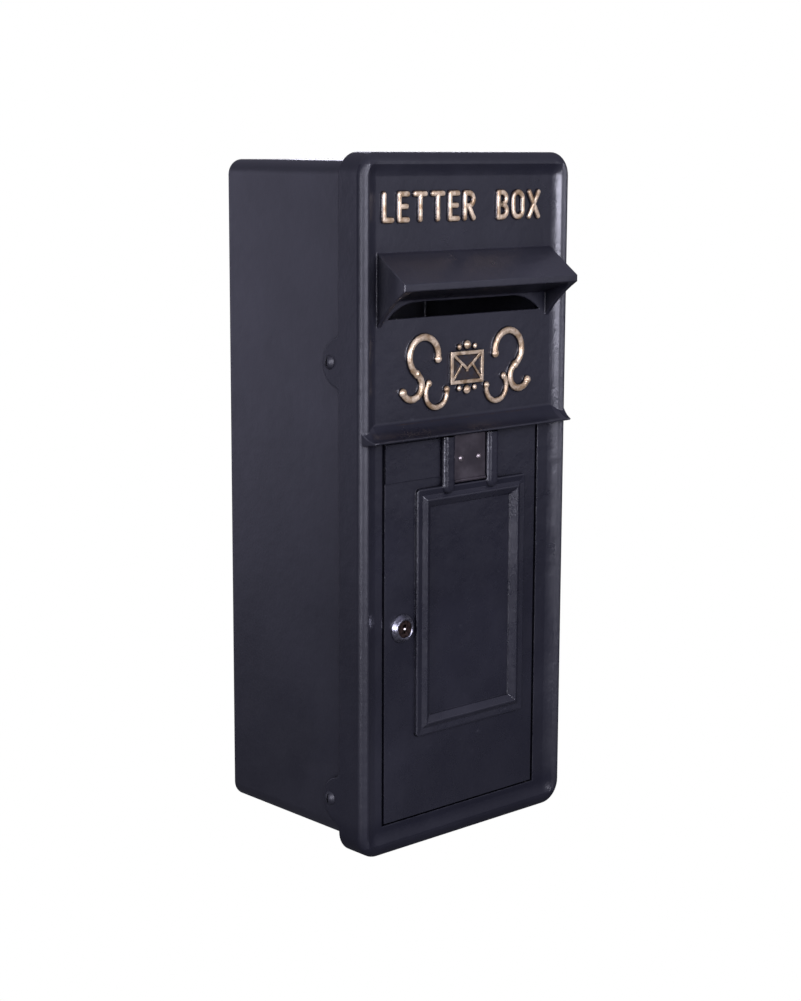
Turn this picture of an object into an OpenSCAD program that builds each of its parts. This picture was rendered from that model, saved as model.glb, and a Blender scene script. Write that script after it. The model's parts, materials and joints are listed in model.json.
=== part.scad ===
// Wall letter box: a cast front with a hooded slot, a hinged and locked door,
// and a deep five-sided box behind it that is screwed to a wall.
// Every piece is drawn lying on its back: X to the right, Y up the front,
// Z out from the wall, with Y = 0 at the foot of the cast front.
// stand() then turns it upright, with the front facing -Y and the wall at Y = 0.

/* [Front casting] */
// Width of the cast front
front_w = 240; // [225:1:270]
// Height of the cast front
front_h = 580; // [570:1:640]
// Outer corner radius of the cast front
front_corner_r = 20; // [20:1:30]
// Distance from the rear edge of the casting to its sunk panel
front_depth = 23; // [20:1:35]
// Width of the raised border round the sunk panel
border_w = 19.2; // [16:0.1:19.5]
// Height of the raised border above the panel
border_rise = 4; // [3:0.5:5]
// Width of the crest of the border, its round edges with it
crest_w = 9.5; // [8.5:0.5:11]
// Radius of the border's outer edge
crest_outer_r = 5; // [2:0.1:5.5]
// Radius of the border's inner edge
crest_inner_r = 2.6; // [1:0.1:2.8]
// Thickness of the cast panel
panel_t = 5; // [4:0.5:7]

/* [Rear box] */
// Depth of the box from the wall to the rear edge of the casting
box_depth = 150; // [120:1:220]
// How far each side of the box lies inside the side of the casting
box_side_step = 3.8; // [3.5:0.1:6]
// How far the top of the box lies below the top of the casting
box_top_step = 7; // [5:0.5:12]
// How far the bottom of the box lies above the foot of the casting
box_foot_step = 13; // [9:0.5:15]
// Wall thickness of the box
box_wall = 3; // [2:0.5:4]
// Radius of the four long corners of the box
box_corner_r = 13; // [8:0.5:18]
// Radius of the rear edges of the box
box_back_r = 5; // [4.5:0.5:8]
// How far the box reaches forward into the casting
box_overlap = 12; // [6:0.5:15]
// Gap between the box and the casting that it slides into
box_fit = 0.3; // [0.1:0.1:1]

/* [Wall fixings] */
// Distance between the wall holes, side to side
fixing_spacing_x = 150; // [80:1:180]
// Distance between the wall holes, top to bottom
fixing_spacing_y = 400; // [200:1:480]
// Diameter of the wall holes
fixing_hole_d = 8; // [5:0.5:12]

/* [Letter slot and hood] */
// Height of the sill of the slot above the foot of the casting
slot_sill = 447; // [430:1:460]
// Width of the slot
slot_w = 176; // [150:1:182]
// Height of the slot
slot_h = 13; // [11:0.5:18]
// Length over which each end of the slot's top edge curves down to the sill
slot_end = 33; // [20:1:50]
// Width of the hood
hood_w = 199; // [190:0.5:204]
// Height at which the hood's roof leaves the panel
hood_root = 500.6; // [490:0.5:515]
// Height of the top edge of the hood's lip
hood_lip_top = 477.2; // [474:0.5:486]
// Height of the hood's lip
hood_lip_h = 5.4; // [4:0.1:7]
// How far the hood stands out from the panel
hood_reach = 33; // [24:1:45]
// Thickness of the hood's roof and cheeks
hood_wall = 4.5; // [3:0.5:6]
// Height of the feet of the hood's cheeks
cheek_foot = 441.5; // [436:0.5:446]
// How far the front edge of each cheek is hollowed
cheek_hollow = 2; // [0.5:0.5:4]
// Radius of the upper inner corners of the hood's mouth
mouth_r = 9; // [4:0.5:14]
// Gap between the top edge of the slot and the hood's underside
soffit_gap = 1.5; // [0.5:0.5:3]

/* [Drip ledge] */
// Height at which the ledge leaves the panel
ledge_root = 363.5; // [358:0.5:368]
// Height of the lip of the ledge
ledge_lip = 351; // [350:0.5:353]
// How far the ledge stands out from the panel
ledge_reach = 15; // [10:0.5:20]
// Thickness of the lip of the ledge
ledge_lip_t = 1.6; // [1:0.1:3]
// Width of the ledge at its lip
ledge_w = 227; // [215:1:232]
// How far the ledge flares at each end towards the panel
ledge_flare = 5; // [2:0.5:5]

/* [Door] */
// Width of the panel strip between the border and the left edge of the door opening
strip_left = 7.8; // [6:0.1:9.5]
// Width of the panel strip between the border and the right edge of the door opening
strip_right = 12.8; // [12:0.1:18]
// Height of the foot of the opening
opening_foot = 24; // [22:0.5:28]
// Height of the head of the opening
opening_head = 348; // [345:0.5:349]
// Gap round the door
door_gap = 1.5; // [1.3:0.1:2.2]
// Thickness of the door
door_t = 5; // [4:0.5:6]
// Radius of the long front edges of the door
door_edge_r = 2; // [2:0.25:3]
// Width of the raised frame on the door
frame_w = 128; // [110:1:134]
// Height of the raised frame on the door
frame_h = 212; // [180:1:220]
// How far the raised frame lies to the right of the middle
frame_shift = 7; // [0:0.5:10]
// Height of the foot of the raised frame
frame_foot = 94; // [80:1:110]
// Width of the moulding of the raised frame
frame_bar = 17; // [14:0.5:20]
// Height of the moulding's main ridge above the door
frame_rise = 5; // [4:0.5:7]
// Height of the moulding's outer bead above the door
frame_bead_rise = 3.2; // [2.8:0.1:3.6]
// Radius of the outer bead
frame_bead_r = 1.5; // [1:0.1:1.8]
// Radius of the main ridge
frame_ridge_r = 2; // [1:0.1:2.5]
// Radius of the frame's outer corners
frame_corner_r = 5; // [2:0.5:8]
// Width of the low blank pad in the corner of the door
pad_w = 61; // [40:1:61]
// Height of the low blank pad
pad_h = 33; // [20:1:40]
// Height of the blank pad above the door
pad_rise = 0.8; // [0.5:0.1:1.5]

/* [Tablet holder] */
// Distance between the middles of the two rails of the holder
rail_spacing = 51; // [50:0.5:60]
// How far the holder lies to the right of the middle
holder_shift = 3.6; // [-5:0.1:10]
// Width of a rail
rail_w = 13; // [8:0.5:16]
// Height of a rail above the door
rail_rise = 6.5; // [4:0.5:8]
// How far the rails lap over the head of the raised frame
rail_lap = 7.5; // [3:0.5:14]
// Width of the tablet
tablet_w = 36; // [30:0.5:36.5]
// Gap between the head of the raised frame and the foot of the tablet
tablet_gap = 0.5; // [0.3:0.1:3]
// Diameter of the rolled rim at the foot of the tablet
tablet_roll_d = 3; // [1.6:0.2:4]
// Thickness of the tablet
tablet_t = 2.5; // [1.5:0.5:4]
// Diameter of a rivet's shank
rivet_d = 3; // [2:0.5:4]
// Diameter of a rivet's head
rivet_head_d = 5.4; // [4.5:0.2:7]
// Height of a rivet's head
rivet_head_h = 1.4; // [1:0.1:2]
// Distance between the two rivets
rivet_spacing = 21; // [14:0.5:26]
// How far a rivet's hole goes into the door
rivet_depth = 3.5; // [2.5:0.1:3.8]

/* [Hinge] */
// Diameter of a hinge pin
pin_d = 4; // [3:0.5:4.5]
// Running gap round a hinge pin in the door's knuckle
pin_fit = 0.05; // [0.02:0.01:0.08]
// Outer diameter of a knuckle and of a hinge boss
knuckle_d = 9; // [8:0.5:10]
// Length of a knuckle on the door
knuckle_l = 26; // [16:1:40]
// Length of the upper hinge boss on the casting
boss_l = 12; // [8:1:16]
// How far a hinge pin reaches into the door's knuckle
pin_bite = 16; // [10:1:22]
// Height of the lower end of the lower pin above the foot of the casting
foot_pin_y = 3; // [1:0.5:8]

/* [Lock] */
// Distance from the middle of the casting to the lock, to the left
lock_x = 71; // [66:0.5:72]
// Height of the lock above the foot of the casting
lock_y = 190.5; // [150:0.5:230]
// Diameter of the lock's rim where it lies on the door
lock_rim_d = 24; // [22:0.5:26]
// Diameter of the lock's front face
lock_face_d = 18.6; // [17.5:0.2:20]
// How far the lock stands out from the door
lock_rise = 4.7; // [3:0.1:6]
// Diameter of the lock's barrel
barrel_d = 19; // [18.5:0.5:20]
// Diameter of the key plug
plug_d = 14.6; // [12:0.2:15.5]
// Running gap round the key plug
plug_fit = 0.05; // [0.02:0.01:0.08]
// How far the face of the plug lies inside the front face of the lock
plug_sink = 1; // [0.5:0.1:2]
// How far the barrel reaches behind the door
barrel_reach = 10; // [8:0.5:16]
// Width of the nut behind the door, across its flats
nut_w = 25; // [23:0.5:28]
// Thickness of the nut behind the door
nut_t = 4; // [3:0.5:6]
// Thickness of the locking cam
cam_t = 2; // [1.5:0.5:3]
// Width of the locking cam
cam_w = 15; // [12:0.5:18]
// Distance from the middle of the lock to the end of the cam
cam_reach = 31; // [29:0.5:34]
// Gap between the cam and the keeper that it turns behind
cam_gap = 0.8; // [0.3:0.1:1.2]
// Width of the keeper pad behind the left strip
keeper_w = 8; // [5:0.5:8.5]
// Length of the keeper pad
keeper_l = 30; // [20:1:40]
// Thickness of the barrel's rear wall
barrel_floor = 2; // [1.5:0.5:3]
// Thickness of the washer behind the cam
washer_t = 1; // [0.8:0.2:2]
// Diameter of the screw that holds the cam
cam_screw_d = 4; // [3:0.5:5]
// Length of the shank of the cam screw
cam_screw_l = 6; // [5:0.5:8]
// Height of the head of the cam screw
cam_screw_head_h = 2.4; // [2:0.2:3]

/* [Side lugs] */
// Radius of the D-shaped lugs that lap over the box
lug_r = 20; // [16:0.5:24]
// Radius of the fillets at the root of a lug
lug_root_r = 6; // [3:0.5:9]
// Height of the upper lugs
lug_upper = 412.5; // [390:0.5:440]
// Height of the lower lugs
lug_lower = 46.5; // [40:0.5:70]
// Distance from the casting's rear edge to a lug's screw
lug_screw_back = 11.5; // [9:0.5:12]
// Diameter of a lug screw's shank
screw_d = 6; // [4:0.5:8]
// Diameter of a lug screw's head
screw_head_d = 12; // [10:0.5:14]
// Height of a lug screw's head
screw_head_h = 3.4; // [2:0.2:5]
// Width of a lug nut, across its flats
lug_nut_w = 10; // [9.5:0.5:13]
// Thickness of a lug nut
lug_nut_t = 5; // [3:0.5:7]
// How much wider than its screw a clearance hole is
screw_clearance = 0.4; // [0.2:0.1:1]

/* [Relief] */
// Height of the middle of the relief above the foot of the casting
relief_y = 403; // [400:0.5:406]
// Width of the envelope in the middle of the relief
envelope_w = 38; // [34:1:42]
// Height of the envelope
envelope_h = 27; // [24:1:28]
// Width of the envelope's raised lines
envelope_line = 3; // [2:0.1:4]
// Height of the envelope's lines above the panel
envelope_rise = 2.4; // [1.5:0.1:3.5]
// Radius of the thick strokes of the scrolls
scroll_r = 3.1; // [2.6:0.1:3.3]
// Radius of the thin strokes of the scrolls
scroll_thin_r = 2.5; // [2:0.1:2.7]
// How far the balls at the scrolls' ends are thicker than their stroke
ball_extra = 0.7; // [0.4:0.1:0.9]
// Height of the middle of the strokes above the panel
scroll_lift = 0.6; // [0.1:0.1:1]

/* [Hidden] */
$fn = 64;
panel_z = box_depth + front_depth;
panel_back = panel_z - panel_t;
panel_half_w = front_w / 2 - border_w;
box_w = front_w - 2 * box_side_step;
box_h = front_h - box_top_step - box_foot_step;
box_mid_y = box_foot_step + box_h / 2;
flange_w = box_side_step - box_fit;
opening_left = -panel_half_w + strip_left;
opening_right = panel_half_w - strip_right;
door_left = opening_left + door_gap;
door_right = opening_right - door_gap;
door_w = door_right - door_left;
door_foot = opening_foot + door_gap;
door_head = opening_head - door_gap;
door_back = panel_z - door_t;
hinge_x = door_right - knuckle_d / 2;
hinge_z = panel_z - knuckle_d / 2;
frame_head = frame_foot + frame_h;
rail_foot = frame_head - rail_lap;
rail_l = door_head - rail_foot;
tablet_low = frame_head + tablet_gap;
tablet_h = door_head - tablet_low;
slot_top = slot_sill + slot_h;
barrel_back = door_back - barrel_reach;
keeper_t = barrel_reach - cam_gap;
lug_seat = front_depth / 4;
hollow_drop = 20;
relief_root = 1;
frame_root = 1;
rail_root = 1;
pad_root = 1;
plug_neck_d = plug_d - 5;
washer_rim = 4;
key_w = 2.2;
key_l = 8;
key_depth = 6;
cam_slot_w = 1.2;
loose_fit = 0.1;
screw_slot_w = 1.6;
screw_end = 1.5;

// Turns what is drawn lying down upright, with the origin between the wall holes
module stand() {
  rotate([90, 0, 0]) translate([0, -box_mid_y, 0]) children();
}

// A flat rectangle with round corners, drawn about its middle
module round_rect(w, h, r) {
  square([w - 2 * r, h], center = true);
  square([w, h - 2 * r], center = true);
  for (x = [-1, 1], y = [-1, 1]) translate([x * (w / 2 - r), y * (h / 2 - r)]) circle(r);
}

// A flat profile, with its outer edge at x = 0 and its body at negative x,
// carried round a rectangle with round corners
module swept_border(w, h, r) {
  for (i = [0:3]) {
    out = i % 2 == 0 ? w : h;
    along = i % 2 == 0 ? h : w;
    rotate(90 * i) {
      translate([out / 2, along / 2 - r, 0]) rotate([90, 0, 0]) linear_extrude(along - 2 * r) children();
      translate([out / 2 - r, along / 2 - r, 0]) rotate_extrude(angle = 90) translate([r, 0]) children();
    }
  }
}

// The same profile carried round a rectangle with mitred corners, between two heights
module mitred_border(w, h, low, high) {
  deep = min(w, h) / 2;
  for (i = [0:3]) {
    out = (i % 2 == 0 ? w : h) / 2;
    along = (i % 2 == 0 ? h : w) / 2;
    rotate(90 * i) intersection() {
      translate([out, along, 0]) rotate([90, 0, 0]) linear_extrude(2 * along) children();
      translate([0, 0, low]) linear_extrude(high - low)
        polygon([[out, -along], [out, along], [out - deep, along - deep], [out - deep, -along + deep]]);
    }
  }
}

// A block with round long corners whose end at z = 0 has rounded edges
module soft_ended_block(w, h, depth, r, end_r) {
  translate([0, 0, end_r]) linear_extrude(depth - end_r) round_rect(w, h, r);
  linear_extrude(depth) round_rect(w - 2 * end_r, h - 2 * end_r, r - end_r);
  swept_border(w, h, r) intersection() {
    translate([-end_r, end_r]) circle(end_r);
    translate([-end_r, 0]) square(end_r);
  }
}

// Section through the edge of the cast front, from its rear edge at y = 0: a square body
// and a raised border, with two round edges and a hollow inner slope
module border_profile() {
  top = front_depth + border_rise;
  translate([-border_w, 0]) square([border_w, top - crest_outer_r]);
  translate([-crest_outer_r, top - crest_outer_r]) circle(crest_outer_r);
  translate([-border_w, 0]) square([border_w - crest_outer_r, front_depth]);
  translate([-crest_w, front_depth - 1]) square([crest_w - crest_outer_r, border_rise - crest_inner_r + 1]);
  translate([-crest_w + crest_inner_r, front_depth - 1])
    square([crest_w - crest_inner_r - crest_outer_r, border_rise + 1]);
  translate([-crest_w + crest_inner_r, top - crest_inner_r]) circle(crest_inner_r);
  translate([0, front_depth]) difference() {
    polygon([[-border_w, 0], [-crest_w + crest_inner_r, -1], [-crest_w + crest_inner_r, border_rise]]);
    slope_hollow();
  }
}

// Round cutter that hollows the inner slope of the border
module slope_hollow() {
  run = border_w - crest_w + crest_inner_r / 2;
  chord = sqrt(run * run + border_rise * border_rise);
  hollow_r = 2.2 * chord;
  reach = sqrt(hollow_r * hollow_r - chord * chord / 4);
  mid = [-border_w + run / 2, border_rise / 2];
  translate(mid + reach / chord * [-border_rise, run]) circle(hollow_r, $fn = 128);
}

module casting_shell() {
  plate_in = border_w / 2;
  difference() {
    union() {
      translate([0, front_h / 2, box_depth]) swept_border(front_w, front_h, front_corner_r) border_profile();
      translate([-front_w / 2 + plate_in, plate_in, box_depth + 1])
        cube([front_w - 2 * plate_in, front_h - 2 * plate_in, front_depth - 1]);
    }
    translate([0, box_mid_y, box_depth - 1]) linear_extrude(front_depth - panel_t + 1)
      round_rect(box_w + 2 * box_fit, box_h + 2 * box_fit, box_corner_r + box_fit);
  }
}

// Outline of a lug that laps over the box: a half disc with hollow fillets at its root
module lug_outline() {
  root_y = sqrt(pow(lug_r + lug_root_r, 2) - pow(lug_root_r, 2));
  touch = lug_r / (lug_r + lug_root_r);
  intersection() {
    circle(lug_r);
    translate([0, -lug_r]) square([lug_r, 2 * lug_r]);
  }
  translate([-lug_seat, -root_y]) square([lug_seat, 2 * root_y]);
  for (side = [-1, 1]) scale([1, side]) difference() {
    polygon([[-1, 0], [-1, root_y], [lug_root_r, root_y], touch * [lug_root_r, root_y], [1, 0]]);
    translate([lug_root_r, root_y]) circle(lug_root_r);
  }
}

module lug(side, y) {
  inner = front_w / 2 - flange_w;
  translate([side > 0 ? inner : -front_w / 2, y, box_depth]) rotate([0, 90, 0])
    linear_extrude(flange_w) lug_outline();
}

// Side outline of the hood, as Z out from the panel and Y up the front
module hood_outline() {
  lip = hood_lip_top - hood_lip_h;
  run = hood_reach;
  drop = lip - cheek_foot;
  chord = sqrt(run * run + drop * drop);
  hollow_r = chord * chord / (8 * cheek_hollow) + cheek_hollow / 2;
  reach = hollow_r - cheek_hollow;
  difference() {
    polygon([[-panel_t / 2, cheek_foot], [0, cheek_foot], [run, lip], [run, hood_lip_top], [0, hood_root],
      [-panel_t / 2, hood_root]]);
    translate([run / 2, cheek_foot + drop / 2] + reach / chord * [drop, -run]) circle(hollow_r, $fn = 128);
  }
}

// Side outline of the space under the hood; its underside falls back to the slot's top edge
module hood_hollow() {
  low = cheek_foot - hollow_drop;
  polygon([[0, low], [hood_reach + 1, low], [hood_reach + 1, hood_lip_top - hood_lip_h],
    [hood_reach, hood_lip_top - hood_lip_h], [0, slot_top + soffit_gap]]);
}

// Side outline of the core that lightens the hood, open to the inside of the casting
module hood_core() {
  fall = (hood_root - hood_lip_top) / hood_reach;
  climb = (hood_lip_top - hood_lip_h - slot_top - soffit_gap) / hood_reach;
  high = hood_root - hood_wall * sqrt(1 + fall * fall);
  low = slot_top + soffit_gap + hood_wall * sqrt(1 + climb * climb);
  back = -panel_t - 1;
  tip = (high - low - 1) / (fall + climb);
  polygon([[back, low], [0, low], [tip, low + climb * tip], [tip, high - fall * tip], [0, high],
    [back, high]]);
}

// Front outline of the hood's mouth, with round upper corners, as X across and Y up the front
module mouth() {
  half = hood_w / 2 - hood_wall;
  top = hood_lip_top - hood_lip_h;
  low = cheek_foot - hollow_drop;
  translate([-half, low]) square([2 * half, top - mouth_r - low]);
  translate([-half + mouth_r, low]) square([2 * (half - mouth_r), top - low]);
  for (side = [-1, 1]) translate([side * (half - mouth_r), top - mouth_r]) circle(mouth_r);
}

// Puts a side outline, drawn as Z out from the panel and Y up the front, across the width w
module across(w) {
  translate([-w / 2, 0, panel_z]) rotate([0, 90, 0]) mirror([1, 0, 0]) linear_extrude(w) children();
}

module hood() {
  difference() {
    across(hood_w) hood_outline();
    intersection() {
      across(hood_w) hood_hollow();
      translate([0, 0, panel_z - panel_t]) linear_extrude(hood_reach + 2 * panel_t) mouth();
    }
  }
}

// The slot's top edge curves down to the sill at both ends
module slot_cutter() {
  end_r = (slot_end * slot_end + slot_h * slot_h) / (2 * slot_h);
  flat = slot_w / 2 - slot_end;
  translate([0, slot_sill, panel_back - 1]) linear_extrude(panel_t + 2) {
    translate([-flat, 0]) square([2 * flat, slot_h]);
    for (side = [-1, 1]) scale([side, 1]) intersection() {
      translate([flat, slot_h - end_r]) circle(end_r, $fn = 256);
      translate([flat - 1, 0]) square([slot_end + 2, slot_h]);
    }
  }
}

// Side outline of the drip ledge: a hollow top that runs out to a thin lip
module ledge_outline() {
  rise = ledge_root - ledge_lip;
  chord = sqrt(ledge_reach * ledge_reach + rise * rise);
  hollow_r = 1.1 * chord;
  reach = sqrt(hollow_r * hollow_r - chord * chord / 4);
  difference() {
    polygon([[-panel_t / 2, opening_head], [0, opening_head],
      [ledge_reach - ledge_lip_t / 2, ledge_lip - ledge_lip_t], [ledge_reach, ledge_lip - ledge_lip_t / 2],
      [ledge_reach, ledge_lip], [0, ledge_root], [-panel_t / 2, ledge_root]]);
    translate([ledge_reach / 2, ledge_lip + rise / 2] + reach / chord * [rise, ledge_reach])
      circle(hollow_r, $fn = 128);
  }
}

module ledge() {
  wide = ledge_w + 2 * ledge_flare;
  intersection() {
    across(wide) ledge_outline();
    translate([0, ledge_root + 1, panel_z]) rotate([90, 0, 0]) linear_extrude(ledge_root - opening_head + 2)
      polygon([[-wide / 2, -panel_t], [wide / 2, -panel_t], [wide / 2, border_rise / 2],
        [ledge_w / 2, ledge_reach + 1], [-ledge_w / 2, ledge_reach + 1], [-wide / 2, border_rise / 2]]);
  }
}

// Round stroke along an arc about [x, y], with a ball at each end that has one
module scroll_arc(x, y, arc_r, from, turn, stroke_r, ball_first = true, ball_last = true) {
  translate([x, y, scroll_lift]) {
    rotate(from) rotate_extrude(angle = turn, $fn = 96) translate([arc_r, 0]) circle(stroke_r, $fn = 24);
    if (ball_first) rotate(from) translate([arc_r, 0, 0]) sphere(stroke_r + ball_extra, $fn = 24);
    if (ball_last) rotate(from + turn) translate([arc_r, 0, 0]) sphere(stroke_r + ball_extra, $fn = 24);
  }
}

// An S scroll and a C scroll beside the envelope, on the right
module scrolls() {
  upper = [49, 12];
  upper_r = 16;
  lower_r = 11;
  meet = -60;
  lower = upper + (upper_r + lower_r) * [cos(meet), sin(meet)];
  scroll_arc(upper[0], upper[1], upper_r, meet, 250, scroll_r);
  scroll_arc(lower[0], lower[1], lower_r, 180 + meet, 215, scroll_r, false, true);
  scroll_arc(35, -19, 12, -190, 235, scroll_thin_r);
}

// Beads above and below the envelope
module beads() {
  gap = envelope_h / 2 + scroll_r + ball_extra + 1.5;
  for (i = [-1:1], side = [-1, 1]) translate([i * 9, side * (gap - 1.5 * abs(i)), scroll_lift])
    sphere(scroll_r + ball_extra - 1.2 * abs(i), $fn = 24);
}

// Sealed envelope in raised lines
module envelope() {
  high = relief_root + envelope_rise;
  translate([0, 0, -relief_root]) difference() {
    linear_extrude(high) square([envelope_w, envelope_h], center = true);
    translate([0, 0, high - envelope_rise / 2]) linear_extrude(high) intersection() {
      square([envelope_w - 2 * envelope_line, envelope_h - 2 * envelope_line], center = true);
      difference() {
        square([envelope_w, envelope_h], center = true);
        envelope_folds();
      }
    }
  }
}

// The flap's two edges and the two folds below it
module envelope_folds() {
  half_w = envelope_w / 2;
  half_h = envelope_h / 2;
  half_line = envelope_line / 2;
  tip = -envelope_h / 12;
  for (side = [-1, 1]) scale([side, 1]) {
    polygon([[half_w, half_h - half_line], [half_w, half_h + half_line],
      [-1, tip + half_line], [-1, tip - half_line]]);
    polygon([[half_w, -half_h - half_line], [half_w, -half_h + half_line],
      [half_w / 3, tip + half_h / 3 + half_line], [half_w / 3, tip + half_h / 3 - half_line]]);
  }
}

module relief() {
  translate([0, relief_y, panel_z]) {
    envelope();
    beads();
    scrolls();
    mirror([1, 0, 0]) scrolls();
  }
}

// The hinge axis, at a height up the front, with Z upward
module at_hinge(y) {
  translate([hinge_x, y, hinge_z]) rotate([-90, 0, 0]) children();
}

// Cast pad behind the left strip that the cam turns behind
module keeper() {
  translate([opening_left - 1 - keeper_w, lock_y - keeper_l / 2, panel_back - keeper_t])
    cube([keeper_w, keeper_l, keeper_t + 1]);
}

module front_casting() {
  opening_w = opening_right - opening_left;
  color([0.10, 0.10, 0.12]) stand() difference() {
    union() {
      difference() {
        casting_shell();
        translate([opening_left, opening_foot, panel_back - 1])
          cube([opening_w, opening_head - opening_foot, panel_t + 2]);
      }
      for (side = [-1, 1], y = [lug_upper, lug_lower]) lug(side, y);
      hood();
      ledge();
      relief();
      at_hinge(opening_head) cylinder(h = boss_l, d = knuckle_d);
      at_hinge(foot_pin_y) cylinder(h = opening_foot - foot_pin_y, d = knuckle_d);
      keeper();
    }
    slot_cutter();
    across(hood_w - 2 * hood_wall) hood_core();
    at_hinge(opening_head - 1) cylinder(h = boss_l + 2, d = pin_d + pin_fit);
    at_hinge(-1) cylinder(h = opening_foot + 2, d = pin_d + pin_fit);
    for (side = [-1, 1], y = [lug_upper, lug_lower]) at_lug(side, y) lug_hole(flange_w);
  }
}

// Where a lug screw goes in, on the outer face of the lug
module at_lug(side, y) {
  translate([side * front_w / 2, y, box_depth - lug_screw_back]) rotate([0, side * 90, 0]) children();
}

module lug_hole(depth) {
  translate([0, 0, -depth - 1]) cylinder(h = depth + 2, d = screw_d + screw_clearance);
}

module rear_box() {
  reach = box_depth + box_overlap;
  color([0.11, 0.11, 0.13]) stand() difference() {
    translate([0, box_mid_y, 0]) difference() {
      soft_ended_block(box_w, box_h, reach, box_corner_r, box_back_r);
      translate([0, 0, box_wall]) soft_ended_block(box_w - 2 * box_wall, box_h - 2 * box_wall, reach,
        box_corner_r - box_wall, box_back_r - box_wall);
      for (x = [-1, 1], y = [-1, 1]) translate([x * fixing_spacing_x / 2, y * fixing_spacing_y / 2, -1])
        cylinder(h = box_wall + 2, d = fixing_hole_d);
    }
    for (side = [-1, 1], y = [lug_upper, lug_lower]) at_lug(side, y) lug_hole(box_side_step + box_wall);
  }
}

// Moulding of the raised frame, from its outer edge at x = 0: a bead, a shallow dip,
// the main ridge and a slope down to the inner edge. Its foot lies at y = -frame_root.
module frame_profile() {
  ridge_x = -0.62 * frame_bar;
  dip = [-0.38 * frame_bar, frame_bead_rise - 0.6];
  bead_x = -0.3 - frame_bead_r;
  polygon([[0, -frame_root], [0, 0], [-0.3, frame_bead_rise - frame_bead_r], [bead_x, frame_bead_rise], dip,
    [ridge_x + frame_ridge_r / 2, frame_rise - frame_ridge_r / 5], [ridge_x, frame_rise],
    [ridge_x - frame_ridge_r, frame_rise - frame_ridge_r / 2], [-frame_bar + 0.6, 1.4], [-frame_bar, 0],
    [-frame_bar, -frame_root]]);
  translate([bead_x, frame_bead_rise - frame_bead_r]) circle(frame_bead_r);
  translate([ridge_x, frame_rise - frame_ridge_r]) circle(frame_ridge_r + 0.05);
}

// The moulding with its outer corners rounded off
module raised_frame() {
  translate([frame_shift, frame_foot + frame_h / 2, panel_z]) difference() {
    mitred_border(frame_w, frame_h, -frame_root, frame_rise + 1) frame_profile();
    for (x = [-1, 1], y = [-1, 1]) scale([x, y, 1])
      translate([frame_w / 2 - frame_corner_r, frame_h / 2 - frame_corner_r, -frame_root - 1])
        linear_extrude(frame_rise + frame_root + 2) difference() {
          square(frame_corner_r + 1);
          circle(frame_corner_r);
        }
  }
}

// Section through a rail of the holder, with round front edges
module rail_profile() {
  edge_r = rail_w / 3;
  translate([-rail_w / 2, -rail_root]) square([rail_w, rail_rise - edge_r + rail_root]);
  translate([-rail_w / 2 + edge_r, -rail_root]) square([rail_w - 2 * edge_r, rail_rise + rail_root]);
  for (x = [-1, 1]) translate([x * (rail_w / 2 - edge_r), rail_rise - edge_r]) circle(edge_r);
}

// The rail ends in a round foot, which is half of the same section revolved
module rail() {
  translate([0, rail_l, 0]) rotate([90, 0, 0]) linear_extrude(rail_l - rail_w / 2) rail_profile();
  translate([0, rail_w / 2, 0]) rotate(180) rotate_extrude(angle = 180) intersection() {
    rail_profile();
    translate([0, -rail_root]) square([rail_w, rail_rise + 2 * rail_root]);
  }
}

// Flat section through the door, with its two long front edges rounded
module door_section() {
  translate([door_left, door_back]) square([door_w, door_t - door_edge_r]);
  translate([door_left + door_edge_r, door_back]) square([door_w - 2 * door_edge_r, door_t]);
  for (x = [door_left + door_edge_r, door_right - door_edge_r])
    translate([x, panel_z - door_edge_r]) circle(door_edge_r);
}

module door() {
  color([0.10, 0.10, 0.12]) stand() difference() {
    union() {
      translate([0, door_head, 0]) rotate([90, 0, 0]) linear_extrude(door_head - door_foot) door_section();
      at_hinge(door_head - knuckle_l) cylinder(h = knuckle_l, d = knuckle_d);
      at_hinge(door_foot) cylinder(h = knuckle_l, d = knuckle_d);
      raised_frame();
      translate([door_left + 1, door_head - pad_h, panel_z - pad_root])
        cube([pad_w, pad_h - 1, pad_rise + pad_root]);
      for (side = [-1, 1]) translate([holder_shift + side * rail_spacing / 2, rail_foot, panel_z]) rail();
    }
    at_hinge(door_head - pin_bite - 2) cylinder(h = pin_bite + 3, d = pin_d + 2 * pin_fit);
    at_hinge(door_foot - 1) cylinder(h = pin_bite + 3, d = pin_d + 2 * pin_fit);
    translate([-lock_x, lock_y, door_back - 1]) cylinder(h = door_t + 2, d = barrel_d + screw_clearance);
    for (side = [-1, 1]) rivet_place(side) translate([0, 0, -rivet_depth])
      cylinder(h = rivet_depth + 1, d = rivet_d + loose_fit);
  }
}

module rivet_place(side) {
  translate([holder_shift + side * rivet_spacing / 2, tablet_low + tablet_h / 2, panel_z]) children();
}

module tablet() {
  roll_r = tablet_roll_d / 2;
  color([0.25, 0.22, 0.20]) stand() difference() {
    translate([holder_shift - tablet_w / 2, tablet_low, panel_z]) {
      cube([tablet_w, tablet_h, tablet_t]);
      translate([0, roll_r, tablet_t]) rotate([0, 90, 0]) cylinder(h = tablet_w, r = roll_r);
    }
    for (side = [-1, 1]) rivet_place(side) translate([0, 0, -1])
      cylinder(h = tablet_t + 2, d = rivet_d + loose_fit);
  }
}

// The shank stops short of the bottom of its hole
module tablet_rivet(side) {
  foot = -rivet_depth + 0.3;
  color([0.5, 0.5, 0.5]) stand() rivet_place(side) {
    translate([0, 0, foot]) cylinder(h = tablet_t - foot + rivet_head_h / 4, d = rivet_d);
    translate([0, 0, tablet_t]) dome(rivet_head_d, rivet_head_h);
  }
}

// Low dome of a given diameter and height
module dome(d, h) {
  r = (d * d / 4 + h * h) / (2 * h);
  intersection() {
    translate([0, 0, h - r]) sphere(r);
    cylinder(h = h, d = d);
  }
}

module at_lock() {
  translate([-lock_x, lock_y, 0]) children();
}

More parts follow.
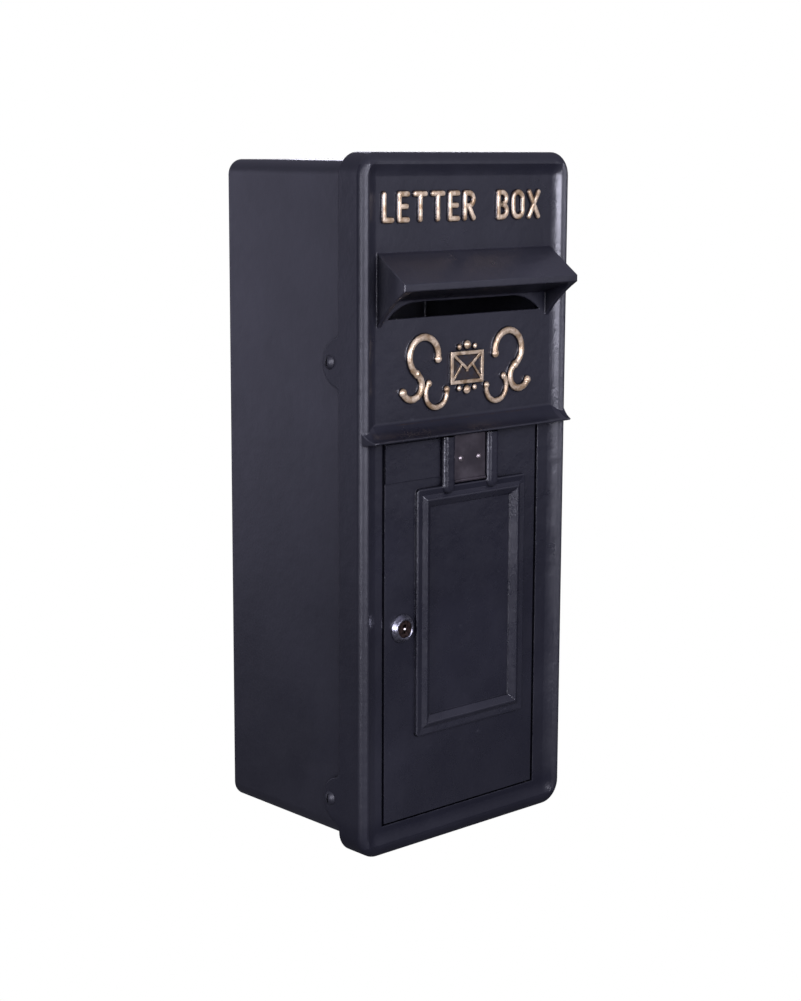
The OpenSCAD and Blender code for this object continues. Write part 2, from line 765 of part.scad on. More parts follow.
module lock_barrel() {
  lock_length = panel_z + lock_rise - barrel_back;
  color([0.75, 0.75, 0.78]) stand() at_lock() difference() {
    rotate_extrude() {
      polygon([[0, panel_z], [lock_rim_d / 2, panel_z], [lock_rim_d / 2, panel_z + 1],
        [lock_face_d / 2, panel_z + lock_rise], [0, panel_z + lock_rise]]);
      translate([0, barrel_back]) square([barrel_d / 2, panel_z - barrel_back]);
    }
    translate([0, 0, barrel_back + barrel_floor]) cylinder(h = lock_length, d = plug_d + 2 * plug_fit);
    translate([0, 0, barrel_back - 1]) cylinder(h = barrel_floor + 2, d = plug_neck_d + 2 * plug_fit);
    translate([0, 0, panel_z + lock_rise - plug_sink / 2])
      cylinder(h = plug_sink, d1 = plug_d + 2 * plug_fit, d2 = plug_d + 2 * plug_fit + 2);
  }
}

module lock_plug() {
  color([0.7, 0.6, 0.4]) stand() at_lock() difference() {
    union() {
      translate([0, 0, barrel_back + barrel_floor])
        cylinder(h = panel_z + lock_rise - plug_sink - barrel_back - barrel_floor, d = plug_d);
      translate([0, 0, barrel_back - cam_t]) cylinder(h = cam_t + barrel_floor + 1, d = plug_neck_d);
    }
    translate([0, 0, panel_z + lock_rise - plug_sink - key_depth]) linear_extrude(key_depth + 1) keyhole();
    translate([0, 0, barrel_back - cam_t - 1]) cylinder(h = cam_screw_l + cam_t, d = cam_screw_d);
  }
}

// Keyway of the plug, shown turned to its unlocked place
module keyhole() {
  square([key_w, key_l], center = true);
  translate([0, 0.3 * key_l]) circle(d = 1.5 * key_w);
}

module lock_nut() {
  color([0.6, 0.6, 0.6]) stand() at_lock() translate([0, 0, door_back - nut_t]) difference() {
    cylinder(h = nut_t, d = nut_w / cos(30), $fn = 6);
    translate([0, 0, -1]) cylinder(h = nut_t + 2, d = barrel_d + loose_fit);
  }
}

// The cam hangs down when unlocked and turns to the left behind the keeper
module lock_cam() {
  color([0.6, 0.6, 0.6]) stand() at_lock() translate([0, 0, barrel_back - cam_t]) linear_extrude(cam_t)
    difference() {
      union() {
        circle(d = cam_w);
        translate([-cam_w / 2, -cam_reach + cam_w / 4]) square([cam_w, cam_reach - cam_w / 4]);
        translate([-cam_w / 4, -cam_reach]) square([cam_w / 2, cam_w / 2]);
        for (x = [-1, 1]) translate([x * cam_w / 4, -cam_reach + cam_w / 4]) circle(cam_w / 4);
      }
      circle(d = plug_neck_d + loose_fit);
    }
}

module cam_washer() {
  color([0.7, 0.7, 0.7]) stand() at_lock() translate([0, 0, barrel_back - cam_t - washer_t])
    difference() {
      cylinder(h = washer_t, d = plug_neck_d + washer_rim);
      translate([0, 0, -1]) cylinder(h = washer_t + 2, d = cam_screw_d + loose_fit);
    }
}

module cam_screw() {
  head_d = 2 * cam_screw_d;
  color([0.7, 0.7, 0.7]) stand() at_lock() translate([0, 0, barrel_back - cam_t - washer_t]) {
    translate([0, 0, -cam_screw_head_h / 2])
      cylinder(h = cam_screw_l + cam_screw_head_h / 2, d = cam_screw_d - loose_fit);
    translate([0, 0, -cam_screw_head_h]) difference() {
      cylinder(h = cam_screw_head_h, d = head_d);
      translate([-cam_slot_w / 2, -head_d / 2, -1]) cube([cam_slot_w, head_d, 1 + cam_screw_head_h / 2]);
    }
  }
}

// Both hinge pins are plain and are driven into the casting: this one from above
module hinge_pin_top() {
  color([0.65, 0.65, 0.65]) stand() at_hinge(door_head - pin_bite)
    cylinder(h = opening_head + boss_l - door_head + pin_bite, d = pin_d);
}

// and this one up through the foot
module hinge_pin_bottom() {
  color([0.65, 0.65, 0.65]) stand() at_hinge(foot_pin_y)
    cylinder(h = door_foot + pin_bite - foot_pin_y, d = pin_d);
}

module lug_screw(side, y) {
  length = box_side_step + box_wall + lug_nut_t + screw_end;
  color([0.12, 0.12, 0.13]) stand() at_lug(side, y) {
    translate([0, 0, -length]) cylinder(h = length + screw_head_h / 4, d = screw_d);
    difference() {
      dome(screw_head_d, screw_head_h);
      translate([-screw_slot_w / 2, -screw_head_d, screw_head_h / 2])
        cube([screw_slot_w, 2 * screw_head_d, screw_head_h]);
    }
  }
}

module lug_nut(side, y) {
  color([0.6, 0.6, 0.6]) stand() at_lug(side, y) translate([0, 0, -box_side_step - box_wall - lug_nut_t])
    difference() {
      cylinder(h = lug_nut_t, d = lug_nut_w / cos(30), $fn = 6);
      translate([0, 0, -1]) cylinder(h = lug_nut_t + 2, d = screw_d + loose_fit);
    }
}

front_casting();
rear_box();
door();
tablet();
tablet_rivet(-1);  // tablet_rivet_left
tablet_rivet(1);  // tablet_rivet_right
lock_barrel();
lock_nut();
lock_plug();
lock_cam();
cam_washer();
cam_screw();
hinge_pin_top();
hinge_pin_bottom();
lug_screw(-1, lug_upper);  // lug_screw_left_top
lug_screw(-1, lug_lower);  // lug_screw_left_bottom
lug_screw(1, lug_upper);  // lug_screw_right_top
lug_screw(1, lug_lower);  // lug_screw_right_bottom
lug_nut(-1, lug_upper);  // lug_nut_left_top
lug_nut(-1, lug_lower);  // lug_nut_left_bottom
lug_nut(1, lug_upper);  // lug_nut_right_top
lug_nut(1, lug_lower);  // lug_nut_right_bottom
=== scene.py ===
"""Looks of the wall letter box: paint, gilding, lettering, lights and camera."""
import json
import math

import bmesh
import bpy
from mathutils import Matrix, Vector


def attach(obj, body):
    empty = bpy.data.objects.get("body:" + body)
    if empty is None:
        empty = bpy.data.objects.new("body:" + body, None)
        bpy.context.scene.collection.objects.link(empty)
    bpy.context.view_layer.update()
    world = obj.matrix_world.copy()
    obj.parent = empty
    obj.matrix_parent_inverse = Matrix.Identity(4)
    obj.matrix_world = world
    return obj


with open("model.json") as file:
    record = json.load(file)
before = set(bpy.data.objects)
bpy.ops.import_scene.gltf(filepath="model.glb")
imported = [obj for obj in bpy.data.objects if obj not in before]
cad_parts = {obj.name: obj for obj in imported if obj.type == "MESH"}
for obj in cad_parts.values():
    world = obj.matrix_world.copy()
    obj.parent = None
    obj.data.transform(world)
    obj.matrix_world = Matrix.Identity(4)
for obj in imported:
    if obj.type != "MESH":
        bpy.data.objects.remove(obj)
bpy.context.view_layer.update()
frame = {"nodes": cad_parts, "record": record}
scene = bpy.context.scene
nodes = frame["nodes"]

MM = 0.001
PANEL_Y = -173 * MM             # face of the sunk panel and of the door
FOOT_Z = -293 * MM              # foot of the casting
FRONT_MID_Z = -3 * MM           # middle of the casting's height
FRONT_HALF_W = 120 * MM
FRONT_HALF_H = 290 * MM
PANEL_HALF_W = 104 * MM         # the hood and the ledge lie within this, the border outside it
RELIEF_HALF_W = 80 * MM
RELIEF_Z = (68 * MM, 152 * MM)
LEDGE_Z = (57 * MM, 71 * MM)
HOOD_Z = (150 * MM, 222 * MM)
RAIL_Z = (4.5 * MM, 55 * MM)    # the rails that hold the tablet
RAIL_LEFT = -29 * MM
DOOR_LEFT = min(corner[0] for corner in nodes["door"].bound_box)
LOCK_X = -71 * MM
LOCK_Z = -102.5 * MM


# ---------------------------------------------------------------- materials
class Mat:
    """A node material with short calls for the nodes used here."""

    def __init__(self, name):
        self.mat = bpy.data.materials.new(name)
        self.mat.use_nodes = True
        self.tree = self.mat.node_tree
        self.tree.nodes.clear()
        self.out = self.node("ShaderNodeOutputMaterial")
        self.bsdf = self.node("ShaderNodeBsdfPrincipled")
        self.link(self.bsdf.outputs[0], self.out.inputs["Surface"])
        self.coords = self.node("ShaderNodeTexCoord").outputs["Object"]

    def node(self, kind):
        return self.tree.nodes.new(kind)

    def link(self, a, b):
        self.tree.links.new(a, b)

    def put(self, socket, value):
        """A link to the socket, or a constant set on it."""
        if isinstance(value, bpy.types.NodeSocket):
            self.link(value, socket)
        elif isinstance(value, tuple) and len(value) == 3 and socket.type == "RGBA":
            socket.default_value = (*value, 1.0)
        else:
            socket.default_value = value

    def set(self, name, value):
        self.put(self.bsdf.inputs[name], value)

    def math(self, op, a, b=0.0):
        n = self.node("ShaderNodeMath")
        n.operation = op
        self.put(n.inputs[0], a)
        self.put(n.inputs[1], b)
        return n.outputs[0]

    def times(self, *values):
        product = values[0]
        for value in values[1:]:
            product = self.math("MULTIPLY", product, value)
        return product

    def ramp(self, value, low, high, to_low=0.0, to_high=1.0):
        """A smooth step from to_low at low to to_high at high."""
        n = self.node("ShaderNodeMapRange")
        n.interpolation_type = "SMOOTHSTEP"
        for socket, v in zip(n.inputs, (value, low, high, to_low, to_high)):
            self.put(socket, v)
        return n.outputs[0]

    def between(self, value, low, high, soft):
        """1 between low and high, 0 outside."""
        return self.times(self.ramp(value, low - soft, low + soft),
                          self.ramp(value, high - soft, high + soft, 1.0, 0.0))

    def mix(self, fac, a, b):
        """From colour a to colour b."""
        n = self.node("ShaderNodeMix")
        n.data_type = "RGBA"
        self.put(n.inputs[0], fac)
        self.put(n.inputs[6], a)
        self.put(n.inputs[7], b)
        return n.outputs[2]

    def lerp(self, fac, a, b):
        """From number a to number b."""
        n = self.node("ShaderNodeMix")
        self.put(n.inputs[0], fac)
        self.put(n.inputs[2], a)
        self.put(n.inputs[3], b)
        return n.outputs[0]

    def vector(self, op, a, b=None):
        n = self.node("ShaderNodeVectorMath")
        n.operation = op
        self.link(a, n.inputs[0])
        if b is not None:
            self.link(b, n.inputs[1])
        return n.outputs

    def noise(self, scale, detail=3.0, rough=0.5, stretch=None, shift=0.0):
        coords = self.coords
        if stretch or shift:
            m = self.node("ShaderNodeMapping")
            m.inputs["Location"].default_value = (shift, shift * 0.7, shift * 1.3)
            m.inputs["Scale"].default_value = stretch or (1, 1, 1)
            self.link(coords, m.inputs["Vector"])
            coords = m.outputs[0]
        n = self.node("ShaderNodeTexNoise")
        n.inputs["Scale"].default_value = scale
        n.inputs["Detail"].default_value = detail
        n.inputs["Roughness"].default_value = rough
        self.link(coords, n.inputs["Vector"])
        return n.outputs[0]

    def axes(self, vector=None):
        """The three numbers of a vector, or of the place on the object."""
        n = self.node("ShaderNodeSeparateXYZ")
        self.link(vector or self.coords, n.inputs[0])
        return n.outputs

    def bump(self, height, distance, normal=None):
        n = self.node("ShaderNodeBump")
        n.inputs["Distance"].default_value = distance
        self.link(height, n.inputs["Height"])
        if normal is not None:
            self.link(normal, n.inputs["Normal"])
        return n.outputs[0]

    def bevel(self, radius):
        n = self.node("ShaderNodeBevel")
        n.samples = 6
        n.inputs["Radius"].default_value = radius
        return n.outputs[0]

    def facing(self):
        """The direction that the surface faces."""
        return self.node("ShaderNodeNewGeometry").outputs["Normal"]

    def edges(self, radius):
        """1 along edges, 0 on flat faces."""
        alike = self.vector("DOT_PRODUCT", self.bevel(radius), self.facing())["Value"]
        return self.ramp(alike, 0.995, 0.80)

    def hollows(self, reach):
        """0 deep in a hollow, 1 in the open."""
        n = self.node("ShaderNodeAmbientOcclusion")
        n.samples = 6
        n.inputs["Distance"].default_value = reach
        return self.ramp(n.outputs["AO"], 0.25, 0.85)


PAINT_DARK = (0.0055, 0.0056, 0.0090)
PAINT_LIGHT = (0.0082, 0.0083, 0.0125)
# rubbed paint, also used as a painted highlight along edges
PAINT_WORN_AND_HIGHLIGHT = (0.045, 0.046, 0.053)
# painted shade, for hollows and gaps
PAINT_SHADE = (0.0012, 0.0012, 0.0022)
GOLD = (0.23, 0.155, 0.085)
GOLD_PALE = (0.52, 0.42, 0.30)
# painted shade on the gold towards the sides of the raised strokes
GOLD_EDGE_SHADE = (0.030, 0.018, 0.010)


def paint(m, grain, rough, edge_r=0.9 * MM, facing=None, gloss=0.75, edge_wear_and_highlight=0.55):
    """Satin black paint over a casting: cloudy and grainy, rubbed at edges and lit there by a
    painted highlight, with painted shade in hollows.

    It sets the gloss, and gives the tone, the roughness and the surface's direction.
    """
    tone = m.mix(m.ramp(m.noise(9, 4, 0.6), 0.35, 0.65), PAINT_DARK, PAINT_LIGHT)
    # edges get a lighter tone: partly rubbed paint, partly a painted highlight along the rounded
    # edges
    rubbed_and_highlit = m.times(m.edges(edge_r), m.ramp(m.noise(160, 4, 0.7, shift=3), 0.42, 0.62), edge_wear_and_highlight)
    tone = m.mix(rubbed_and_highlit, tone, PAINT_WORN_AND_HIGHLIGHT)
    spots = m.times(m.ramp(m.noise(75, 5, 0.75, shift=9), 0.66, 0.74), 0.25)
    tone = m.mix(spots, tone, PAINT_WORN_AND_HIGHLIGHT)
    # painted shade: from ambient occlusion, the tone darkens and the gloss fades in hollows
    out_of_shade = m.hollows(30 * MM)
    tone = m.mix(out_of_shade, PAINT_SHADE, tone)
    m.set("Specular IOR Level", m.times(out_of_shade, gloss))
    patches = m.times(m.ramp(m.noise(30, 4, 0.6, shift=5), 0.3, 0.7), 0.06)
    rough = m.math("ADD", rough - 0.05, patches)
    peel = m.noise(95, 3, 0.5, shift=7)
    sand = m.noise(420, 3, 0.6)
    normal = m.bump(peel, 0.35 * MM * grain, facing or m.bevel(edge_r))
    normal = m.bump(sand, 0.10 * MM * grain, normal)
    return tone, rough, normal


def finish(m, tone, rough, normal):
    m.set("Base Color", tone)
    m.set("Roughness", rough)
    m.set("Normal", normal)
    return m.mat


def hand_laid(m, out, scale, by, shift=0.0):
    """How far the surface stands out, with the wander of an edge laid by hand."""
    wander = m.math("SUBTRACT", m.noise(scale, 3, 0.6, shift=shift), 0.5)
    return m.math("ADD", out, m.times(wander, by))


def gold_tone(m):
    return m.mix(m.ramp(m.noise(150, 4, 0.6, shift=2), 0.35, 0.65), GOLD, GOLD_PALE)


def front_paint():
    m = Mat("front_paint")
    x, y, z = m.axes()
    out = m.math("SUBTRACT", PANEL_Y, y)
    beside = m.math("ABSOLUTE", x)
    up = m.math("SUBTRACT", z, FRONT_MID_Z)
    on_panel = m.ramp(beside, PANEL_HALF_W + 1 * MM, PANEL_HALF_W - 1 * MM)
    front = m.ramp(out, -2.5 * MM, -0.5 * MM)

    def rim(away, half):
        return m.times(front, m.ramp(away, half - 10.5 * MM, half - 9 * MM))

    # the crest of the border is worn round, so its light is wide and lies to one side
    side = rim(beside, FRONT_HALF_W)
    end = rim(m.math("ABSOLUTE", up), FRONT_HALF_H)
    crest = m.math("MAXIMUM", side, end)
    lean = m.node("ShaderNodeCombineXYZ")
    m.put(lean.inputs[0], m.times(side, -0.4))
    m.put(lean.inputs[2], m.times(m.math("SIGN", up), end, 0.4))
    leaned = m.vector("ADD", m.bevel(1.8 * MM), lean.outputs[0])[0]
    facing = m.vector("NORMALIZE", leaned)[0]
    # rain and dust dull the border's foot and the casting's sides
    foot = m.ramp(up, -254 * MM, -268 * MM)
    shine = m.lerp(end, m.ramp(z, 20 * MM, 180 * MM, 0.44, 0.28), 0.62)
    gloss = m.lerp(foot, m.lerp(front, 0.50, m.lerp(crest, 0.70, shine)), 0.28)
    # the drip ledge is dull on its slope and rubbed at its lip
    ledge = m.times(m.between(z, *LEDGE_Z, 0.5 * MM), m.ramp(out, 0.3 * MM, 1 * MM), on_panel)
    gloss = m.lerp(ledge, gloss, m.ramp(out, 11.5 * MM, 14 * MM, 0.35, 1.0))
    # the hood is glossy outside and dull within
    hood = m.times(m.between(z, *HOOD_Z, 1 * MM), m.ramp(out, 2 * MM, 3 * MM), on_panel)
    gloss = m.lerp(hood, gloss, m.ramp(m.axes(m.facing())[2], -0.4, -0.1, 0.35, 1.0))
    tone, rough, normal = paint(m, 1.0, 0.32, 1.8 * MM, facing, gloss, edge_wear_and_highlight=0.35)
    rough = m.lerp(crest, m.lerp(front, m.math("ADD", rough, 0.12), rough), 0.42)
    # gold leaf on the raised relief, darkened by painted shade towards the relief's sides
    rise = hand_laid(m, out, 260, 1.1 * MM, shift=11)
    leaf = m.times(m.between(x, -RELIEF_HALF_W, RELIEF_HALF_W, 0.5 * MM),
                   m.between(z, *RELIEF_Z, 0.5 * MM), m.ramp(rise, 1 * MM, 1.6 * MM))
    gilt = m.mix(m.ramp(rise, 1.5 * MM, 2.6 * MM), GOLD_EDGE_SHADE, gold_tone(m))
    m.set("Metallic", m.times(leaf, 0.55))
    return finish(m, m.mix(leaf, tone, gilt), m.lerp(leaf, rough, 0.36), normal)


def box_paint():
    m = Mat("box_paint")
    return finish(m, *paint(m, 0.5, 0.42, edge_wear_and_highlight=0.2))


def door_paint():
    m = Mat("door_paint")
    x, y, z = m.axes()
    # painted shade: the left edge is painted dark and dull, for the shade in its gap
    rim = m.ramp(x, DOOR_LEFT + 1.6 * MM, DOOR_LEFT + 0.8 * MM)
    gloss = m.lerp(rim, 0.75, 0.05)
    tone, rough, normal = paint(m, 0.9, 0.30, 0.6 * MM, gloss=gloss, edge_wear_and_highlight=0.15)
    # the holder's rails are polished by handling
    rail = m.times(m.ramp(m.math("SUBTRACT", PANEL_Y, y), 0.3 * MM, 0.9 * MM),
                   m.between(z, *RAIL_Z, 0.3 * MM), m.ramp(x, RAIL_LEFT - 0.5 * MM, RAIL_LEFT))
    return finish(m, m.mix(rim, tone, PAINT_SHADE), m.lerp(rail, rough, 0.25), normal)


def screw_paint():
    m = Mat("screw_paint")
    return finish(m, *paint(m, 0.5, 0.50, 0.5 * MM, gloss=0.6))


def gilding():
    """Gold leaf on the tops of the letters, over the paint of the casting, with painted shade
    where the gold meets the strokes' sides.
    """
    m = Mat("gilding")
    rise = hand_laid(m, m.math("SUBTRACT", PANEL_Y, m.axes()[1]), 300, 0.9 * MM)
    leaf = m.ramp(rise, 1.7 * MM, 2.6 * MM)
    # the strokes' sides are black paint; painted shade darkens the gold where it meets them
    under = m.mix(m.ramp(rise, 0.9 * MM, 1.5 * MM), PAINT_DARK, GOLD_EDGE_SHADE)
    m.set("Metallic", m.times(leaf, 0.45))
    rough = m.lerp(leaf, 0.22, m.ramp(m.noise(220), 0.3, 0.7, 0.32, 0.46))
    return finish(m, m.mix(leaf, under, gold_tone(m)), rough, m.bump(m.noise(500), 0.08 * MM))


def metal(name, dark, light, rough, scale, brushed=None, bump=0.03 * MM, metallic=1.0):
    """Spotted metal with some dirt on it."""
    m = Mat(name)
    spots = m.noise(scale, 4, 0.6, stretch=brushed)
    tone = m.mix(m.ramp(spots, 0.3, 0.7), dark, light)
    dirt = m.times(m.ramp(m.noise(90, 5, 0.7, shift=6), 0.55, 0.75), 0.35)
    tone = m.mix(dirt, tone, tuple(c * 0.35 for c in dark))
    m.set("Metallic", metallic)
    return finish(m, tone, m.ramp(spots, 0.2, 0.8, rough - 0.05, rough + 0.08),
                  m.bump(spots, bump, m.bevel(0.4 * MM)))


MATERIALS = {
    "front_paint": front_paint(),
    "box_paint": box_paint(),
    "door_paint": door_paint(),
    "screw_paint": screw_paint(),
    "tablet_metal": metal("tablet_metal", (0.055, 0.048, 0.054), (0.085, 0.075, 0.082),
                          0.36, 60, metallic=0.8),
    "rivet_metal": metal("rivet_metal", (0.14, 0.12, 0.12), (0.26, 0.23, 0.23),
                         0.36, 400, metallic=0.9),
    "lock_chrome": metal("lock_chrome", (0.19, 0.19, 0.22), (0.30, 0.30, 0.34),
                         0.28, 500, bump=0.01 * MM),
    "lock_brass": metal("lock_brass", (0.030, 0.022, 0.022), (0.085, 0.055, 0.046), 0.38, 350),
    "zinc_steel": metal("zinc_steel", (0.42, 0.43, 0.45), (0.62, 0.63, 0.64), 0.38, 260),
    "pin_steel": metal("pin_steel", (0.30, 0.29, 0.29), (0.48, 0.47, 0.46),
                       0.36, 260, brushed=(1, 1, 0.1)),
}
for part in frame["record"]["subparts"]:
    for holder in nodes[part["node"]].material_slots:
        holder.material = MATERIALS[part["material_slot"]]


# ---------------------------------------------------------------- lettering and key pin
def arc(cx, cz, rx, rz, a0, a1, n=14):
    steps = (math.radians(a0 + (a1 - a0) * i / n) for i in range(n + 1))
    return [(cx + rx * math.cos(a), cz + rz * math.sin(a)) for a in steps]


# Each letter is drawn as round strokes in a box one unit high: (width, strokes)
LETTERS = {
    "L": (0.40, [[(0, 1), (0, 0)], [(0, 0), (0.40, 0)]]),
    "E": (0.42, [[(0, 1), (0, 0)], [(0, 1), (0.42, 1)], [(0, 0.52), (0.36, 0.52)],
                 [(0, 0), (0.42, 0)]]),
    "T": (0.54, [[(0.27, 1), (0.27, 0)], [(0, 1), (0.54, 1)]]),
    "R": (0.46, [[(0, 1), (0, 0)],
                 [(0, 1)] + arc(0.20, 0.745, 0.25, 0.255, 90, -90) + [(0, 0.49)],
                 [(0.20, 0.49), (0.47, 0)]]),
    "B": (0.46, [[(0, 1), (0, 0)],
                 [(0, 1)] + arc(0.20, 0.76, 0.23, 0.24, 90, -90) + [(0, 0.52)],
                 [(0, 0.52)] + arc(0.20, 0.26, 0.26, 0.26, 90, -90) + [(0, 0)]]),
    "O": (0.52, [arc(0.26, 0.74, 0.26, 0.26, 0, 180) + arc(0.26, 0.26, 0.26, 0.26, 180, 360)
                 + [(0.52, 0.74)]]),
    "X": (0.52, [[(0, 1), (0.52, 0)], [(0, 0), (0.52, 1)]]),
}
LETTER_GAP = 0.36               # between two letters, in the same unit
WORD_SPACE = 0.62
STROKE_HALF_W = 2.75 * MM
STROKE_HEIGHT = 3.2 * MM
STROKE_FOOT_Y = PANEL_Y + 0.3 * MM
STROKE_SIDES = 10
CAP_ANGLES = (25, 50, 70, 84)   # rings of a stroke's round end, in degrees


def stroke(bm, points):
    """A raised round stroke through flat points, with round ends."""
    pts = [Vector((x, 0, z)) for x, z in points]
    closed = (pts[0] - pts[-1]).length < 1e-6
    if closed:
        pts = pts[:-1]
    n = len(pts)
    rings = []
    for i, p in enumerate(pts):
        before = pts[i - 1] if i or closed else p
        after = pts[(i + 1) % n] if i < n - 1 or closed else p
        rings.append((p, (after - before).normalized(), 1.0))
    if not closed:
        for first in (True, False):
            p, along, _ = rings[0] if first else rings[-1]
            onward = along * (-1 if first else 1) * STROKE_HALF_W
            caps = [(p + onward * math.sin(math.radians(a)), along, math.cos(math.radians(a)))
                    for a in CAP_ANGLES]
            rings = caps[::-1] + rings if first else rings + caps
    rows = []
    for p, along, size in rings:
        across = Vector((along.z, 0, -along.x)) * STROKE_HALF_W * size
        row = []
        for k in range(STROKE_SIDES + 1):
            a = math.pi * k / STROKE_SIDES
            y = STROKE_FOOT_Y - STROKE_HEIGHT * size * math.sin(a) ** 0.8
            row.append(bm.verts.new(p + across * math.cos(a) + Vector((0, y, 0))))
        rows.append(row)
    for a, b in list(zip(rows, rows[1:])) + ([(rows[-1], rows[0])] if closed else []):
        for k in range(STROKE_SIDES):
            bm.faces.new((a[k], a[k + 1], b[k + 1], b[k]))
        bm.faces.new((a[-1], a[0], b[0], b[-1]))
    if not closed:
        bm.faces.new(rows[0])
        bm.faces.new(rows[-1][::-1])


def smooth_piece(name, bm, material):
    """An object made of the mesh, in one material, with smooth shading."""
    mesh = bpy.data.meshes.new(name)
    bm.to_mesh(mesh)
    bm.free()
    for f in mesh.polygons:
        f.use_smooth = True
    mesh.materials.append(material)
    obj = bpy.data.objects.new(name, mesh)
    scene.collection.objects.link(obj)
    return obj


def lettering(text, left, right, foot, top):
    """The words in raised strokes, spread evenly between left and right."""
    tall = top - foot - 2 * STROKE_HALF_W
    widths = [WORD_SPACE if c == " " else LETTERS[c][0] for c in text]
    total = sum(widths) + LETTER_GAP * (len(text) - 1)
    wide = (right - left - 2 * STROKE_HALF_W) / total
    bm = bmesh.new()
    x = left + STROKE_HALF_W
    z = foot + STROKE_HALF_W
    for c, w in zip(text, widths):
        if c != " ":
            for line in LETTERS[c][1]:
                stroke(bm, [(x + px * wide, z + pz * tall) for px, pz in line])
        x += (w + LETTER_GAP) * wide
    bmesh.ops.recalc_face_normals(bm, faces=bm.faces)
    return smooth_piece("lettering", bm, gilding())


words = lettering("LETTER BOX", -96 * MM, 86 * MM, FOOT_Z + 523.5 * MM, FOOT_Z + 549.5 * MM)
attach(words, "housing")


def key_pin():
    """The bright pin in the middle of the key plug."""
    bm = bmesh.new()
    bmesh.ops.create_uvsphere(bm, u_segments=20, v_segments=12, radius=1.5 * MM)
    bright = metal("pin_bright", (0.55, 0.50, 0.47), (0.80, 0.75, 0.70), 0.25, 300, bump=0.01 * MM)
    obj = smooth_piece("key_pin", bm, bright)
    obj.location = (LOCK_X, PANEL_Y - 3.2 * MM, LOCK_Z)
    return obj


pin = key_pin()
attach(pin, "lock_core")


# ---------------------------------------------------------------- studio
COOL = (0.85, 0.84, 1.0)
BLUE = (0.76, 0.74, 1.0)


def light(name, place, aim, size, power, color, spread):
    """A soft box of the given width and height."""
    data = bpy.data.lights.new(name, "AREA")
    data.energy = power
    data.color = color
    data.shape = "RECTANGLE"
    data.size, data.size_y = size
    data.spread = math.radians(spread)
    obj = bpy.data.objects.new(name, data)
    obj.location = place
    toward = Vector(aim) - Vector(place)
    obj.rotation_euler = toward.to_track_quat("-Z", "Y").to_euler()
    scene.collection.objects.link(obj)


def seen_white(tree, lit, plain_kind):
    """White to the camera, and the given shader to everything else."""
    path = tree.nodes.new("ShaderNodeLightPath")
    plain = tree.nodes.new(plain_kind)
    plain.inputs[0].default_value = (1, 1, 1, 1)
    choose = tree.nodes.new("ShaderNodeMixShader")
    tree.links.new(path.outputs["Is Camera Ray"], choose.inputs[0])
    tree.links.new(lit.outputs[0], choose.inputs[1])
    tree.links.new(plain.outputs[0], choose.inputs[2])
    return choose.outputs[0]


# A soft dome, brighter overhead
world = bpy.data.worlds.new("studio")
scene.world = world
world.use_nodes = True
tree = world.node_tree
tree.nodes.clear()
soft = tree.nodes.new("ShaderNodeBackground")
height = tree.nodes.new("ShaderNodeSeparateXYZ")
tree.links.new(tree.nodes.new("ShaderNodeTexCoord").outputs["Generated"], height.inputs[0])
dome = tree.nodes.new("ShaderNodeMapRange")
tree.links.new(height.outputs[2], dome.inputs[0])
for socket, value in zip(list(dome.inputs)[1:5], (-0.2, 0.9, 0.04, 0.42)):
    socket.default_value = value
soft.inputs[0].default_value = (*BLUE, 1)
tree.links.new(dome.outputs[0], soft.inputs[1])
surface = tree.nodes.new("ShaderNodeOutputWorld").inputs["Surface"]
tree.links.new(seen_white(tree, soft, "ShaderNodeBackground"), surface)

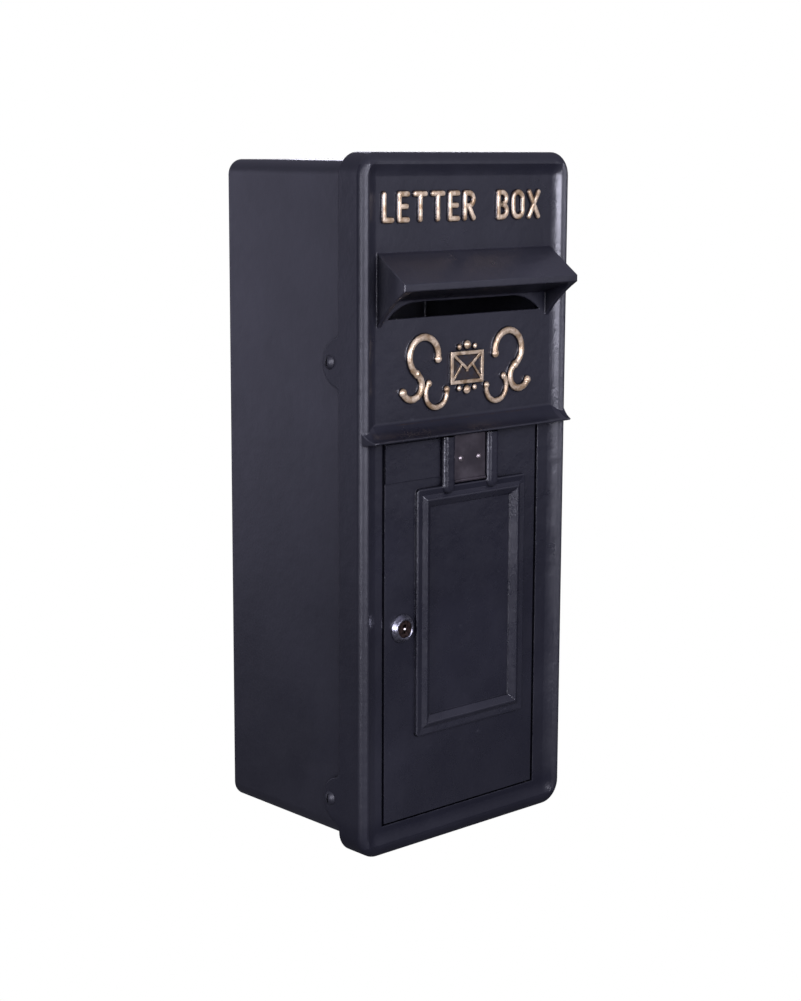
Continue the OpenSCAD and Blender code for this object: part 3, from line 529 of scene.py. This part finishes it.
# A pale floor well below the box, which hangs free as in the photograph
bm = bmesh.new()
bmesh.ops.create_grid(bm, x_segments=2, y_segments=2, size=6)
mesh = bpy.data.meshes.new("floor")
bm.to_mesh(mesh)
bm.free()
floor = bpy.data.objects.new("floor", mesh)
floor.location = (0, 0, FOOT_Z - 0.25)
scene.collection.objects.link(floor)
ground = Mat("floor")
ground.set("Base Color", ground.mix(ground.noise(3), (0.08, 0.08, 0.085), (0.09, 0.09, 0.09)))
ground.set("Roughness", 0.9)
shown = seen_white(ground.tree, ground.bsdf, "ShaderNodeEmission")
ground.link(shown, ground.out.inputs["Surface"])
mesh.materials.append(ground.mat)

# name, place, what it is aimed at, width and height, watts, colour, spread in degrees
LIGHTS = (
    ("left", (-2.1, -0.8, 0.2), (-0.1, -0.12, 0.1), (0.5, 0.9), 12.0, COOL, 110),
    ("key", (-1.5, -1.75, 0.65), (-0.05, -0.12, 0.2), (1.0, 0.8), 12.0, COOL, 110),
    ("front_left", (-0.5, -2.1, 0.5), (0.0, -0.17, 0.1), (0.5, 0.9), 11.0, COOL, 110),
    ("front", (0.1, -2.15, 0.5), (0.0, -0.17, 0.1), (0.5, 0.9), 12.0, COOL, 110),
    ("front_right", (1.35, -1.6, 0.3), (0.0, -0.17, 0.1), (0.7, 1.2), 0.5, COOL, 130),
    ("side", (-1.6, 1.7, 0.0), (-0.1, 0.0, 0.0), (0.6, 1.6), 1.5, BLUE, 150),
    ("side_back", (-1.1, 2.1, 0.2), (-0.1, 0.0, 0.0), (0.6, 1.6), 3.2, BLUE, 150),
    ("rim", (1.5, 1.5, 0.4), (0.1, -0.1, 0.1), (0.5, 1.2), 10.0, COOL, 150),
)
for row in LIGHTS:
    light(*row)

# Camera: a fit to the photograph. The angles turn the row frame into the camera's.
PITCH, ROLL, YAW = 0.1653, 0.0048, 0.7464
EYE = Vector((-1.1292, -1.3276, 0.2907))
LEVEL = Matrix(((1, 0, 0), (0, 0, -1), (0, 1, 0)))
FLIP = Matrix(((1, 0, 0), (0, -1, 0), (0, 0, -1)))
turn = (Matrix.Rotation(ROLL, 3, "Z") @ Matrix.Rotation(PITCH, 3, "X")
        @ LEVEL @ Matrix.Rotation(YAW, 3, "Z"))
pose = (turn.transposed() @ FLIP).to_4x4()
pose.translation = EYE
camera = bpy.data.objects.new("camera", bpy.data.cameras.new("camera"))
camera.matrix_world = pose
camera.data.sensor_width = 36
camera.data.lens = 69.9
camera.data.shift_x = -0.0107
camera.data.shift_y = -0.0292
scene.collection.objects.link(camera)
scene.camera = camera
scene.view_settings.view_transform = "Standard"
